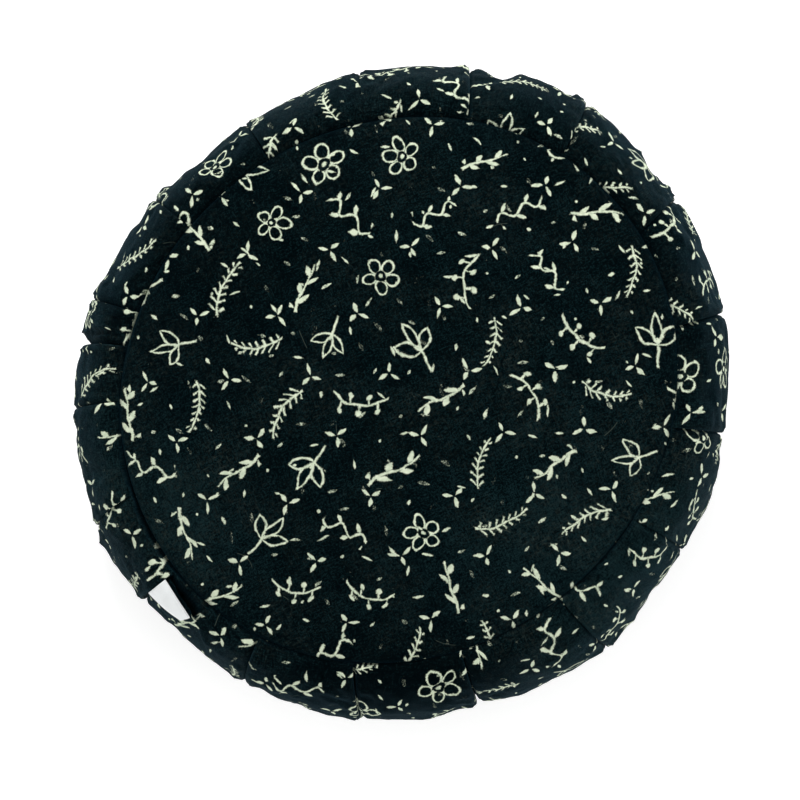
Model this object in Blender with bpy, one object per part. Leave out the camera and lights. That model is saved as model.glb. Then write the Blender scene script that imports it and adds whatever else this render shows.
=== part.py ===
"""A zafu: a round, firmly filled meditation cushion, lying on its base.

Two round panels close a tall side strip. The strip is longer than the seams it is sewn to,
so it is laid in knife pleats all round, and it swells out between the seams. One end of the
strip laps over the other. A short slit is open there, just below the top seam, and a folded
ribbon label is caught under the lapped end.

Metres, +Z up. The origin is at the middle of the outline, on the surface the cushion lies on.
"""
import math

import bmesh
import bpy
from mathutils import Matrix

# ---------------------------------------------------------------- driving dimensions (metres)
SIDE_RADIUS = 0.1783
OVERALL_HEIGHT = 0.150
TOP_SEAM_HEIGHT = 0.134
WIDEST_HEIGHT = 0.066
BASE_SEAM_HEIGHT = 0.012
TOP_SEAM_RADIUS = 0.1468
BASE_SEAM_RADIUS = 0.1450
SEAM_OVAL = 0.0062
SEAM_OVAL_DEG = 38.0
BASE_FLAT_SHARE = 0.74
CROWN_POWER = 2.5
BASE_CURL_POWER = 1.6
CLOTH = 0.002
GAP = 0.0003

# The side strip between the seams
SIDE_FULLNESS = 0.86
PLEAT_RISE_SHARE = 0.05
PLEAT_EASE = 0.42
LAP_LENGTH = 0.0046
SEAM_PINCH = 0.0005
EDGE_FADE = 0.011
TUCK_FADE = 0.006
LOBE_SWELL = 0.0034
LOBE_FULLNESS = 0.55
LOBE_ROUNDNESS = 0.7
FOLD_SWELL_SHARE = 0.5
FULL_SWELL_DEG = 20.0

# The slit beside the lapped end of the strip, below the top seam. SLIT_SHARES say where down the
# side its full depth starts and ends, and SLIT_EDGE_SHARES where it opens and closes. From the
# fold on it is fully open as far as SLIT_FULL_DEG, and it is closed at SLIT_END_DEG.
SLIT_FULL_DEG = 225.6
SLIT_END_DEG = 228.6
SLIT_SHARES = (0.014, 0.060)
SLIT_EDGE_SHARES = (0.004, 0.080)
SLIT_DEPTH = 0.0075

# The folded ribbon label under the lapped end: its edge near the seam, and its far edge
LABEL_START_DEG = (219.1, 218.8)
LABEL_END_DEG = (227.5, 226.3)
LABEL_START_SHARES = (0.062, 0.196)
LABEL_END_SHARES = (0.108, 0.186)
LABEL_STATIONS = (0.0, 0.25, 0.5, 0.75, 1.0)
LABEL_THICKNESS = 0.0012
LABEL_CLEARANCE = 0.0007

# One row for each pleat, anticlockwise from +X as seen from above:
#   crease_deg           where its crease leaves the top seam
#   slant_deg, twist_deg how far round it has moved by the widest part, and by the base seam
#   lap                  1 where the cloth before the fold lies over the cloth after it, else -1
#   step_mm              how far the upper cloth stands off the lower
#   fold_mm, reach_mm    how far the side swells past the mean outline, at the fold and after it
PLEAT_COLUMNS = ("crease_deg", "slant_deg", "twist_deg", "lap", "step_mm", "fold_mm", "reach_mm")
PLEAT_ROWS = (
    (12.5, 0.8, 0.9, -1, 3.0, 2.0, 1.6),
    (32.8, 2.4, -0.6, -1, 2.2, 4.6, 5.5),
    (54.8, 1.8, 1.2, -1, 2.6, 8.0, 5.0),
    (75.5, 2.0, 1.0, -1, 3.6, 2.5, -2.0),
    (96.9, 0.7, -1.2, 1, 2.0, -4.6, -8.5),
    (119.2, 0.5, 0.8, 1, 2.2, -10.8, -13.5),
    (142.1, -0.5, 1.6, -1, 2.4, -8.0, -8.6),
    (163.5, 0.0, -0.6, -1, 2.4, -3.8, -3.4),
    (170.9, 0.6, 0.8, -1, 4.4, -4.0, -2.8),
    (182.5, 0.7, 0.4, -1, 3.0, -1.4, -0.6),
    (201.7, 2.4, -0.8, 1, 2.6, 2.0, 1.4),
    (219.6, -0.8, 0.0, 1, 4.2, 1.2, -2.4),
    (240.8, 0.8, 1.8, -1, 3.6, 0.0, 0.5),
    (260.8, 2.0, 1.4, 1, 3.6, 0.0, -1.4),
    (283.6, 0.6, -0.6, 1, 4.8, -2.2, -2.3),
    (307.6, 0.8, 1.4, -1, 2.8, -0.6, -4.0),
    (331.0, 0.2, -1.0, -1, 2.2, -2.6, -1.0),
    (351.9, 0.5, 0.6, -1, 3.4, -2.2, -1.6),
)
PLEATS = [dict(zip(PLEAT_COLUMNS, row)) for row in PLEAT_ROWS]
FLAP = 11

# The main dents and bulges of the side: where, how high, and how wide and tall
DENT_COLUMNS = ("angle_deg", "share", "height_mm", "wide_deg", "tall_share")
DENT_ROWS = (
    (41.0, 0.46, -4.2, 2.2, 0.15),
    (58.6, 0.45, 2.2, 1.4, 0.10),
    (73.0, 0.46, -4.4, 2.2, 0.16),
    (82.0, 0.46, -2.6, 2.8, 0.18),
    (137.2, 0.46, -1.9, 2.0, 0.18),
    (157.0, 0.46, -1.7, 3.2, 0.20),
    (205.7, 0.46, 2.2, 1.4, 0.11),
    (280.3, 0.46, -1.5, 1.8, 0.16),
    (315.2, 0.46, 1.6, 1.6, 0.14),
)
DENTS = [dict(zip(DENT_COLUMNS, row)) for row in DENT_ROWS]

# Shares of a stretch, from one fold to the next, at which the strip has a column of points
LOBE_STATIONS = (0.09, 0.25, 0.42, 0.59, 0.76, 0.91)
# Shares of the way down the side, from the top seam to the base seam, at which it has a row
SIDE_ROWS = (0.0, 0.016, 0.056, 0.082, 0.125, 0.18, 0.245, 0.32, 0.405,
             0.5, 0.6, 0.69, 0.77, 0.84, 0.9, 0.95, 0.982, 1.0)
# Shares of the seam's radius at which a panel has a ring of points, from its edge inwards
PANEL_RINGS = (1.0, 0.93, BASE_FLAT_SHARE, 0.48, 0.24)

# ---------------------------------------------------------------- colours and shading
CLOTH_BLACK = (0.0050, 0.0085, 0.0100, 1.0)
CLOTH_ROUGHNESS = 0.92
RIBBON_WHITE = (0.82, 0.82, 0.80, 1.0)
RIBBON_ROUGHNESS = 0.55
SHARP_EDGE = math.radians(40.0)


def clear_scene():
    for item in list(bpy.data.objects):
        bpy.data.objects.remove(item, do_unlink=True)


def make_material(name, colour, roughness):
    material = bpy.data.materials.new(name)
    material.use_nodes = True
    shader = material.node_tree.nodes["Principled BSDF"]
    shader.inputs["Base Color"].default_value = colour
    shader.inputs["Roughness"].default_value = roughness
    shader.inputs["Metallic"].default_value = 0.0
    return material


# ---------------------------------------------------------------- the outline and the seams
def turn_between(start_deg, end_deg):
    """The angle from one direction on to the next, anticlockwise."""
    return (end_deg - start_deg) % 360.0


def swell_share(share):
    """A soft step from 0 to 1."""
    share = min(max(share, 0.0), 1.0)
    return share * share * (3.0 - 2.0 * share)


def turn_from(start_deg, end_deg):
    """The turn from one direction to another, the shorter way round and with its sign."""
    return (end_deg - start_deg + 180.0) % 360.0 - 180.0


def outline_knots():
    """Where the side's reach is given: at each fold and in the middle of the stretch after it."""
    knots = []
    for index, pleat in enumerate(PLEATS):
        following = PLEATS[(index + 1) % len(PLEATS)]
        width = turn_between(pleat["crease_deg"], following["crease_deg"])
        slant = 0.5 * (pleat["slant_deg"] + following["slant_deg"])
        knots.append((pleat["crease_deg"] + pleat["slant_deg"], pleat["fold_mm"] / 1000.0))
        knots.append((pleat["crease_deg"] + 0.5 * width + slant, pleat["reach_mm"] / 1000.0))
    return knots


OUTLINE_KNOTS = outline_knots()


def outline_radius(angle_deg):
    """How far the side reaches at its widest, without the folds."""
    for index, (start, start_reach) in enumerate(OUTLINE_KNOTS):
        end, end_reach = OUTLINE_KNOTS[(index + 1) % len(OUTLINE_KNOTS)]
        width = turn_between(start, end)
        along = turn_between(start, angle_deg)
        if along <= width:
            reach = start_reach + (end_reach - start_reach) * swell_share(along / width)
            return SIDE_RADIUS + reach
    return SIDE_RADIUS


def seam_radius(mean_radius, angle_deg):
    """The seams are slightly oval."""
    return mean_radius + SEAM_OVAL * math.cos(math.radians(2.0 * (angle_deg - SEAM_OVAL_DEG)))


def slit_depth(angle_deg, share):
    """How deep the slit beside the lapped end is."""
    closing = swell_share((angle_deg - SLIT_FULL_DEG) / (SLIT_END_DEG - SLIT_FULL_DEG))
    opening = swell_share((share - SLIT_EDGE_SHARES[0]) / (SLIT_SHARES[0] - SLIT_EDGE_SHARES[0]))
    far_wall = swell_share((share - SLIT_SHARES[1]) / (SLIT_EDGE_SHARES[1] - SLIT_SHARES[1]))
    return SLIT_DEPTH * (1.0 - closing) * opening * (1.0 - far_wall)


def dent_height(angle_deg, share):
    """How far the side's dents and bulges move its surface."""
    height = 0.0
    for dent in DENTS:
        wide = turn_from(dent["angle_deg"], angle_deg) / dent["wide_deg"]
        tall = (share - dent["share"]) / dent["tall_share"]
        height += dent["height_mm"] / 1000.0 * math.exp(-wide * wide - tall * tall)
    return height


def side_profile(angle_deg, share):
    """Radius and height of the side, without its folds, a share of the way down it."""
    top = seam_radius(TOP_SEAM_RADIUS, angle_deg)
    base = seam_radius(BASE_SEAM_RADIUS, angle_deg)
    across = math.sin(math.pi * share)
    up = math.cos(math.pi * share)
    seam = top + (base - top) * share
    radius = seam + (outline_radius(angle_deg) - seam) * max(across, 0.0) ** SIDE_FULLNESS
    rise = TOP_SEAM_HEIGHT if up > 0.0 else BASE_SEAM_HEIGHT
    height = WIDEST_HEIGHT + (rise - WIDEST_HEIGHT) * abs(up) ** SIDE_FULLNESS
    return radius, height


def side_normal(angle_deg, share):
    """The outward direction of the side in the plane of its profile."""
    nudge = 0.01
    low = max(share - nudge, 0.0)
    high = min(share + nudge, 1.0)
    radius_above, height_above = side_profile(angle_deg, low)
    radius_below, height_below = side_profile(angle_deg, high)
    outward = height_above - height_below
    upward = radius_below - radius_above
    length = math.hypot(outward, upward)
    return outward / length, upward / length


# ---------------------------------------------------------------- the pleated strip
def pleat_height(share):
    """How open a fold is: closed in the seams, sharp beside them, softer where it is widest."""
    from_seam = min(share, 1.0 - share)
    opened = swell_share(from_seam / PLEAT_RISE_SHARE)
    return opened * (1.0 - PLEAT_EASE * math.sin(math.pi * share) ** 2)


def lobe_height(share):
    """How far a stretch swells between its folds: not at all in the seams."""
    return math.sin(math.pi * share) ** LOBE_FULLNESS


def strip_columns():
    """Every column of points round the strip, in order.

    Each has its angle in the seam, the slant and twist of the folds there, its shift along the
    strip where the folds lap, its offset by the folds, its offset by the swelling, and whether it
    lies beside the slit.
    """
    columns = []
    for index, pleat in enumerate(PLEATS):
        following = PLEATS[(index + 1) % len(PLEATS)]
        half_step = 0.5 * pleat["step_mm"] / 1000.0
        lap = pleat["lap"]
        place = {"angle": pleat["crease_deg"], "slant": pleat["slant_deg"],
                 "twist": pleat["twist_deg"], "swell": LOBE_SWELL * FOLD_SWELL_SHARE}
        edge = {**place, "pinch": -lap * SEAM_PINCH, "shift": 0.0, "step": half_step, "slit": False}
        tuck = {**place, "pinch": lap * SEAM_PINCH, "shift": -lap * LAP_LENGTH,
                "step": -half_step, "slit": index == FLAP}
        columns.extend([edge, tuck] if lap > 0 else [tuck, edge])
        width = turn_between(pleat["crease_deg"], following["crease_deg"])
        length = math.radians(width) * TOP_SEAM_RADIUS
        start_step = -lap * half_step
        end_step = following["lap"] * 0.5 * following["step_mm"] / 1000.0
        for station in LOBE_STATIONS:
            fade_start = EDGE_FADE if start_step > 0.0 else TUCK_FADE
            fade_end = EDGE_FADE if end_step > 0.0 else TUCK_FADE
            step = start_step * math.exp(-station * length / fade_start)
            step += end_step * math.exp(-(1.0 - station) * length / fade_end)
            fullness = (1.0 - FOLD_SWELL_SHARE) * min(1.0, width / FULL_SWELL_DEG)
            swell = FOLD_SWELL_SHARE + fullness * math.sin(math.pi * station) ** LOBE_ROUNDNESS
            columns.append({"angle": pleat["crease_deg"] + width * station,
                            "slant": mixed(pleat["slant_deg"], following["slant_deg"], station),
                            "twist": mixed(pleat["twist_deg"], following["twist_deg"], station),
                            "pinch": 0.0, "shift": 0.0, "step": step, "slit": index == FLAP,
                            "swell": LOBE_SWELL * swell})
    return columns


def mixed(first, second, share):
    """The first value, going over into the second."""
    return first + (second - first) * share


def column_seam_deg(column):
    """The angle of a column where it meets a seam."""
    return column["angle"] + math.degrees(column["pinch"] / TOP_SEAM_RADIUS)


def side_point(column, share, with_slit=True):
    """Angle, radius and height of the strip, a share of the way down one of its columns."""
    opened = pleat_height(share)
    along = column["pinch"] * (1.0 - opened) + column["shift"] * opened
    angle_deg = column["angle"] + column["slant"] * math.sin(math.pi * share)
    angle_deg += column["twist"] * swell_share(share)
    radius, height = side_profile(angle_deg, share)
    outward, upward = side_normal(angle_deg, share)
    offset = column["step"] * opened + column["swell"] * lobe_height(share)
    offset += dent_height(angle_deg, share)
    if with_slit and column["slit"]:
        offset -= slit_depth(angle_deg, share)
    radius += outward * offset
    height += upward * offset
    return angle_deg + math.degrees(along / radius), radius, height


def in_space(angle_deg, radius, height):
    """The point at an angle, a radius and a height."""
    turn = math.radians(angle_deg)
    return radius * math.cos(turn), radius * math.sin(turn), height


# ---------------------------------------------------------------- the round panels
def panel_height(share, top):
    """Height of a panel's outer face, a share of the way out from its middle."""
    if top:
        crown = OVERALL_HEIGHT - TOP_SEAM_HEIGHT
        return TOP_SEAM_HEIGHT + crown * (1.0 - share ** CROWN_POWER)
    if share <= BASE_FLAT_SHARE:
        return 0.0
    climb = (share - BASE_FLAT_SHARE) / (1.0 - BASE_FLAT_SHARE)
    return BASE_SEAM_HEIGHT * climb ** BASE_CURL_POWER


def panel_ring(columns, share, top, drop, widen):
    """A ring of points under a panel's outer face, widened past the seam at its edge."""
    mean_radius = TOP_SEAM_RADIUS if top else BASE_SEAM_RADIUS
    direction = -1.0 if top else 1.0
    ring = []
    for column in columns:
        angle_deg = column_seam_deg(column)
        radius = seam_radius(mean_radius, angle_deg) * share + widen
        turn = math.radians(angle_deg)
        height = panel_height(share, top) + direction * drop
        ring.append((radius * math.cos(turn), radius * math.sin(turn), height))
    return ring


# ---------------------------------------------------------------- mesh building
def closed_mesh(name, rings, material):
    """A closed body from rings of equal length, capped by a flat face at each end."""
    shape = bmesh.new()
    loops = [[shape.verts.new(point) for point in ring] for ring in rings]
    count = len(loops[0])
    for upper, lower in zip(loops, loops[1:]):
        for index in range(count):
            after = (index + 1) % count
            shape.faces.new((upper[index], lower[index], lower[after], upper[after]))
    shape.faces.new(loops[0])
    shape.faces.new(list(reversed(loops[-1])))
    bmesh.ops.recalc_face_normals(shape, faces=shape.faces[:])
    mesh = bpy.data.meshes.new(name)
    shape.to_mesh(mesh)
    shape.free()
    mesh.materials.append(material)
    mesh.shade_smooth()
    mesh.set_sharp_from_angle(angle=SHARP_EDGE)
    item = bpy.data.objects.new(name, mesh)
    bpy.context.scene.collection.objects.link(item)
    return item


def make_side_gusset(columns, material):
    """The pleated strip with what it holds, as one body that lies under both panels."""
    under = CLOTH + GAP
    inner_shares = sorted(PANEL_RINGS[1:])
    rings = [panel_ring(columns, share, True, under, 0.0) for share in inner_shares]
    rings.append(panel_ring(columns, 1.0, True, under, GAP))
    for share in SIDE_ROWS:
        rings.append([in_space(*side_point(column, share)) for column in columns])
    for ring_index in (len(inner_shares) + 1, len(rings) - 1):
        rings[ring_index] = [widened(point, GAP) for point in rings[ring_index]]
    rings.append(panel_ring(columns, 1.0, False, under, GAP))
    for share in reversed(inner_shares):
        rings.append(panel_ring(columns, share, False, under, 0.0))
    return closed_mesh("side_gusset", rings, material)


def widened(point, amount):
    """A point moved straight out from the middle."""
    radius = math.hypot(point[0], point[1])
    scale = (radius + amount) / radius
    return point[0] * scale, point[1] * scale, point[2]


def make_panel(name, columns, top, material):
    """A round panel: a sheet with its crown, its edge along the seam."""
    outer = [panel_ring(columns, share, top, 0.0, 0.0) for share in reversed(PANEL_RINGS)]
    inner = [panel_ring(columns, share, top, CLOTH, 0.0) for share in PANEL_RINGS]
    return closed_mesh(name, outer + inner, material)


def cloth_past_flap(columns, angle_deg, share):
    """Radius and height of the cloth past the lapped end, without the slit."""
    places = [side_point(column, share, with_slit=False) for column in columns if column["slit"]]
    before = [place for place in places if place[0] <= angle_deg][-1]
    after = [place for place in places if place[0] > angle_deg][0]
    share_between = (angle_deg - before[0]) / (after[0] - before[0])
    return [mixed(before[axis], after[axis], share_between) for axis in (1, 2)]


def label_layer(columns, lift):
    """Points of one face of the label, in rows across it."""
    layer = []
    for along in LABEL_STATIONS:
        row = []
        for across in LABEL_STATIONS:
            angle_deg = mixed(mixed(*LABEL_START_DEG, across), mixed(*LABEL_END_DEG, across), along)
            share = mixed(mixed(*LABEL_START_SHARES, across), mixed(*LABEL_END_SHARES, across), along)
            radius, height = cloth_past_flap(columns, angle_deg, share)
            outward, upward = side_normal(angle_deg, share)
            row.append(in_space(angle_deg, radius + outward * lift, height + upward * lift))
        layer.append(row)
    return layer


def make_side_label(columns, material):
    """A short ribbon, caught under the lapped end and lying along the strip."""
    shape = bmesh.new()
    layers = []
    for lift in (LABEL_CLEARANCE, LABEL_CLEARANCE + LABEL_THICKNESS):
        layers.append([[shape.verts.new(point) for point in row] for row in label_layer(columns, lift)])
    under, over = layers
    last_along = len(under) - 1
    last_across = len(under[0]) - 1
    for layer in layers:
        for i in range(last_along):
            for j in range(last_across):
                shape.faces.new((layer[i][j], layer[i + 1][j], layer[i + 1][j + 1], layer[i][j + 1]))
    for i in range(last_along):
        for j in (0, last_across):
            shape.faces.new((under[i][j], under[i + 1][j], over[i + 1][j], over[i][j]))
    for j in range(last_across):
        for i in (0, last_along):
            shape.faces.new((under[i][j], under[i][j + 1], over[i][j + 1], over[i][j]))
    bmesh.ops.recalc_face_normals(shape, faces=shape.faces[:])
    mesh = bpy.data.meshes.new("side_label")
    shape.to_mesh(mesh)
    shape.free()
    mesh.materials.append(material)
    mesh.shade_smooth()
    mesh.set_sharp_from_angle(angle=SHARP_EDGE)
    item = bpy.data.objects.new("side_label", mesh)
    bpy.context.scene.collection.objects.link(item)
    return item


def centre_on_outline(items, outline):
    """Shift every piece so that the middle of the outline is over the origin."""
    corners = [vertex.co for vertex in outline.data.vertices]
    middle = [0.5 * (min(corner[axis] for corner in corners) + max(corner[axis] for corner in corners))
              for axis in range(2)]
    shift = Matrix.Translation((-middle[0], -middle[1], 0.0))
    for item in items:
        item.data.transform(shift)


def main():
    clear_scene()
    columns = strip_columns()
    cloth = make_material("printed_cotton", CLOTH_BLACK, CLOTH_ROUGHNESS)
    ribbon = make_material("label_ribbon", RIBBON_WHITE, RIBBON_ROUGHNESS)
    gusset = make_side_gusset(columns, cloth)
    top = make_panel("top_panel", columns, True, cloth)
    base = make_panel("bottom_panel", columns, False, cloth)
    label = make_side_label(columns, ribbon)
    centre_on_outline((gusset, top, base, label), gusset)


main()
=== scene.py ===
"""A zafu in black printed cotton, seen from above on a white ground.

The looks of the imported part: the pleated side strip as one filled piece with real lapped folds,
the two round panels as cloth sheets, and the folded ribbon label. All sizes are in metres, in
the part's own frame, except where a name says mm or deg.
"""

import math
from functools import partialmethod

import bmesh
import bpy
import numpy as np
from mathutils import Matrix, Vector
from mathutils.bvhtree import BVHTree


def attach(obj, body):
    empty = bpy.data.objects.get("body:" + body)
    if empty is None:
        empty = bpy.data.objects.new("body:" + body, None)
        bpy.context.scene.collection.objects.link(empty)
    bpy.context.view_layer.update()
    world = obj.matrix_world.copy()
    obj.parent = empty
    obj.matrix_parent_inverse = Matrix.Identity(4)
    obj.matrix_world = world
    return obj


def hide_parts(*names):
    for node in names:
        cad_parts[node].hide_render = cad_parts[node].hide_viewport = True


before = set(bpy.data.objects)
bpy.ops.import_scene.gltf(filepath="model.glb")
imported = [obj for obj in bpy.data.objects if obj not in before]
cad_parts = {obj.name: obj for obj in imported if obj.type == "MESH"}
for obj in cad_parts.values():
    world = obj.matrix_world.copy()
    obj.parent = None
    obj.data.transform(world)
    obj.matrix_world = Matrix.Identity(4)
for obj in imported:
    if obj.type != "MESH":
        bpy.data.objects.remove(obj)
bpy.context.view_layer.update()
MM = 0.001

# ======== sizes shared with the part
SIDE_RADIUS = 0.1783
OVERALL_HEIGHT = 0.150
TOP_SEAM_HEIGHT = 0.134
WIDEST_HEIGHT = 0.066
BASE_SEAM_HEIGHT = 0.012
TOP_SEAM_RADIUS = 0.1468
BASE_SEAM_RADIUS = 0.1450
SEAM_OVAL = 0.0062
SEAM_OVAL_DEG = 38.0
CROWN_POWER = 2.5
BASE_FLAT_SHARE = 0.74
BASE_CURL_POWER = 1.6
SIDE_FULLNESS = 0.86
GAP = 0.3 * MM
UNDER_PANEL = 2.9 * MM

# Over what length a fold's step fades on the cloth that lies over and on the cloth tucked under,
# how far a crease draws in the cloth, and how far the cloth swells between two folds
EDGE_FADE = 11.0 * MM
TUCK_FADE = 6.0 * MM
DRAW_FADE = 4.5 * MM
LOBE_SWELL = 3.4 * MM
LOBE_ROUNDNESS = 0.55

# One row for each pleat, anticlockwise from +X as seen from above:
#   crease_deg           where the crease of its fold leaves the top seam
#   slant_deg, twist_deg how far round it has moved by the widest part, and by the base seam
#   lap                  1 where the cloth before the fold lies over the cloth after it, else -1
#   step_mm, slit_mm     how far the upper cloth stands off the lower, and how deep the crease is
#   draw_mm              how far the crease draws in the cloth beside it
#   fold_mm, reach_mm    how far the side swells past the mean outline, at the fold and after it
#   ease                 share of the step that the fold loses where the side is widest
PLEAT_COLUMNS = ("crease_deg", "slant_deg", "twist_deg", "lap", "step_mm", "slit_mm", "draw_mm",
                 "fold_mm", "reach_mm", "ease")
PLEAT_ROWS = (
    (12.5, 0.8, 0.9, -1, 1.6, 3.4, 1.2, 2.0, 1.6, 0.35),
    (32.8, 2.4, -0.6, -1, 1.2, 2.0, 0.8, 4.6, 5.5, 0.40),
    (54.8, 1.8, 1.2, -1, 1.4, 2.2, 0.4, 8.0, 5.0, 0.30),
    (75.5, 2.0, 1.0, -1, 2.4, 4.2, 1.2, 2.5, -2.0, 0.42),
    (96.9, 0.7, -1.2, 1, 1.0, 1.8, 0.4, -4.6, -8.5, 0.50),
    (119.2, 0.5, 0.8, 1, 1.2, 2.0, 0.4, -10.8, -13.5, 0.45),
    (142.1, -0.5, 1.6, -1, 1.4, 2.4, 0.4, -8.0, -8.6, 0.50),
    (163.5, 0.0, -0.6, -1, 1.2, 3.0, 0.4, -3.8, -3.4, 0.60),
    (170.9, 0.6, 0.8, -1, 3.4, 5.2, 1.4, -4.0, -2.8, 0.35),
    (182.5, 0.7, 0.4, -1, 1.8, 3.6, 0.8, -1.4, -0.6, 0.30),
    (201.7, 2.4, -0.8, 1, 1.6, 2.4, 0.4, 2.0, 1.4, 0.50),
    (219.6, -0.8, 0.0, 1, 3.2, 3.0, 0.4, 1.2, -2.4, 0.30),
    (240.8, 0.8, 1.8, -1, 2.2, 4.4, 0.8, 0.0, 0.5, 0.35),
    (260.8, 2.0, 1.4, 1, 2.2, 4.4, 1.2, 0.0, -1.4, 0.35),
    (283.6, 0.6, -0.6, 1, 3.0, 5.2, 2.4, -2.2, -2.3, 0.25),
    (307.6, 0.8, 1.4, -1, 1.8, 2.8, 0.6, -0.6, -4.0, 0.45),
    (331.0, 0.2, -1.0, -1, 1.2, 2.2, 0.6, -2.6, -1.0, 0.50),
    (351.9, 0.5, 0.6, -1, 2.0, 4.0, 1.2, -2.2, -1.6, 0.35),
)
PLEATS = dict(zip(PLEAT_COLUMNS, np.array(PLEAT_ROWS, float).T))
PLEAT_COUNT = len(PLEAT_ROWS)
FLAP = 11

# The cross-section of a fold, from the cloth that lies over to the cloth that lies under:
#   place_mm        where along the strip from the crease, and undercut_mm its move as it opens
#   level, depth    share of half the step, and share of the depth of the crease
SECTION_COLUMNS = ("place_mm", "undercut_mm", "level", "depth")
SECTION_ROWS = (
    (-3.4, 0.0, 1.0, 0.00),
    (-2.1, 0.0, 1.0, -0.02),
    (-1.2, 0.0, 1.0, -0.09),
    (-0.6, 0.0, 1.0, -0.21),
    (-0.2, 0.0, 0.9, -0.38),
    (-0.1, -0.2, 0.6, -0.60),
    (0.0, -0.6, 0.1, -0.84),
    (0.1, -0.6, -0.5, -1.00),
    (0.3, -0.1, -0.9, -0.84),
    (0.6, 0.0, -1.0, -0.60),
    (0.9, 0.0, -1.0, -0.37),
    (1.4, 0.0, -1.0, -0.19),
    (2.3, 0.0, -1.0, -0.07),
    (3.6, 0.0, -1.0, 0.00),
)
SECTION = dict(zip(SECTION_COLUMNS, np.array(SECTION_ROWS).T))
SECTION_HALF = len(SECTION_ROWS) // 2

# Puckers, dents and drag lines on the side: where, height, size, and lean in degrees a share
PUCKER_COLUMNS = ("deg", "share", "height_mm", "wide_deg", "tall_share", "lean_deg")
PUCKER_ROWS = (
    (6.0, 0.47, 1.0, 2.4, 0.16, 0.0),
    (28.0, 0.46, 1.1, 1.6, 0.16, 0.0),
    (35.4, 0.45, -2.6, 0.8, 0.12, 4.0),
    (38.2, 0.46, -3.0, 1.0, 0.14, 3.0),
    (41.0, 0.46, -4.4, 1.9, 0.15, 3.0),
    (44.6, 0.43, 1.8, 0.7, 0.07, -4.0),
    (56.0, 0.45, 1.0, 1.0, 0.10, 0.0),
    (58.6, 0.45, 2.6, 0.8, 0.09, 0.0),
    (60.6, 0.46, -3.7, 0.9, 0.10, 4.0),
    (67.6, 0.46, -0.9, 1.0, 0.14, 0.0),
    (73.0, 0.46, -5.5, 1.9, 0.16, 6.0),
    (80.2, 0.46, -1.1, 1.0, 0.14, 2.0),
    (82.0, 0.46, -2.6, 2.8, 0.18, 2.0),
    (92.0, 0.46, -0.9, 2.0, 0.16, 0.0),
    (98.9, 0.36, -0.8, 0.4, 0.12, 5.0),
    (101.2, 0.46, -1.1, 1.8, 0.16, 0.0),
    (137.2, 0.46, -1.9, 1.7, 0.18, -3.0),
    (138.4, 0.46, -2.5, 0.8, 0.16, -3.0),
    (139.2, 0.38, 1.2, 1.2, 0.10, -5.0),
    (146.3, 0.46, -1.5, 1.6, 0.18, 3.0),
    (157.0, 0.46, -1.7, 3.2, 0.20, 4.0),
    (159.2, 0.46, -1.7, 1.3, 0.16, 0.0),
    (160.9, 0.10, -0.8, 0.5, 0.08, 10.0),
    (165.4, 0.11, -0.9, 0.4, 0.09, 0.0),
    (167.3, 0.12, -0.7, 0.4, 0.08, -4.0),
    (169.9, 0.17, -2.6, 0.55, 0.09, 5.0),
    (170.3, 0.46, 3.6, 0.7, 0.14, 0.0),
    (172.4, 0.46, -2.6, 1.0, 0.16, 0.0),
    (179.0, 0.17, -0.8, 0.7, 0.07, 8.0),
    (186.2, 0.46, -0.9, 1.0, 0.14, 0.0),
    (205.7, 0.46, 3.2, 1.1, 0.11, 0.0),
    (225.6, 0.46, -1.6, 1.8, 0.13, 0.0),
    (240.6, 0.46, 1.3, 0.8, 0.12, 0.0),
    (244.6, 0.46, -2.2, 1.6, 0.16, 4.0),
    (249.2, 0.13, -0.6, 0.5, 0.11, 4.0),
    (252.2, 0.46, -1.0, 1.0, 0.14, 0.0),
    (255.7, 0.09, -1.8, 0.5, 0.08, -3.0),
    (267.6, 0.46, 0.8, 1.2, 0.14, 0.0),
    (281.0, 0.46, -2.1, 1.8, 0.16, 3.0),
    (292.5, 0.30, -0.7, 0.8, 0.20, 9.0),
    (315.2, 0.46, 1.6, 1.4, 0.14, 0.0),
    (321.2, 0.46, -1.9, 1.6, 0.16, 3.0),
    (323.6, 0.47, -1.0, 2.0, 0.20, 5.0),
    (350.2, 0.46, -2.0, 1.1, 0.14, 0.0),
)

# ======== sizes of the finer cloth
# How closely the points lie, and how much closer the rows lie at either seam, over what share
LOBE_COLUMNS = 28
COLUMN_INSET = 0.7
SIDE_ROW_COUNT = 112
ROW_STATIONS = 2001
ROWS_AT_TOP = (2.6, 0.055)
ROWS_AT_BASE = (1.6, 0.035)
PANEL_COLUMNS = 540
PANEL_RING_COUNT = 58
PANEL_RING_POWER = 1.5
PANEL_INNER_RINGS = 15
PANEL_MIDDLE_SHARE = 0.012

# How the folds open below a seam, how much the creases keep of that, and how the folds waver
STEP_OPENS = 8.0 * MM
CREASE_OPENS = 3.5 * MM
CREASE_EASE = 0.5
FOLD_WAVER = 0.20
FOLD_WAVER_LENGTH = 0.050
FOLD_WAVER_SEED = 3

# Uneven cloth, as rows of height, wavelength and seed, and how soon it starts beside a seam
SIDE_UNEVEN = ((0.60 * MM, 0.055, 11), (0.30 * MM, 0.020, 12), (0.10 * MM, 0.008, 13))
SIDE_UNEVEN_START = 6.0 * MM
TOP_UNEVEN = ((0.85 * MM, 0.085, 42), (0.255 * MM, 0.030, 43), (0.051 * MM, 0.009, 44))
TOP_UNEVEN_START = 12.0 * MM
PANEL_PUCKERS = ((0.35 * MM, 0.012, 41),)
PANEL_PUCKER_REACH = 10.0 * MM
PANEL_PUCKER_START = 2.5 * MM

# The small gathers of the side below its seams, and how unevenly they follow each other
GATHER_HEIGHT = 0.35 * MM
GATHER_PITCH = 9.5 * MM
GATHER_REACH = 8.0 * MM
GATHER_START = 1.6 * MM
GATHER_STRAY = ((1.4, 0.060, 21),)

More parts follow.
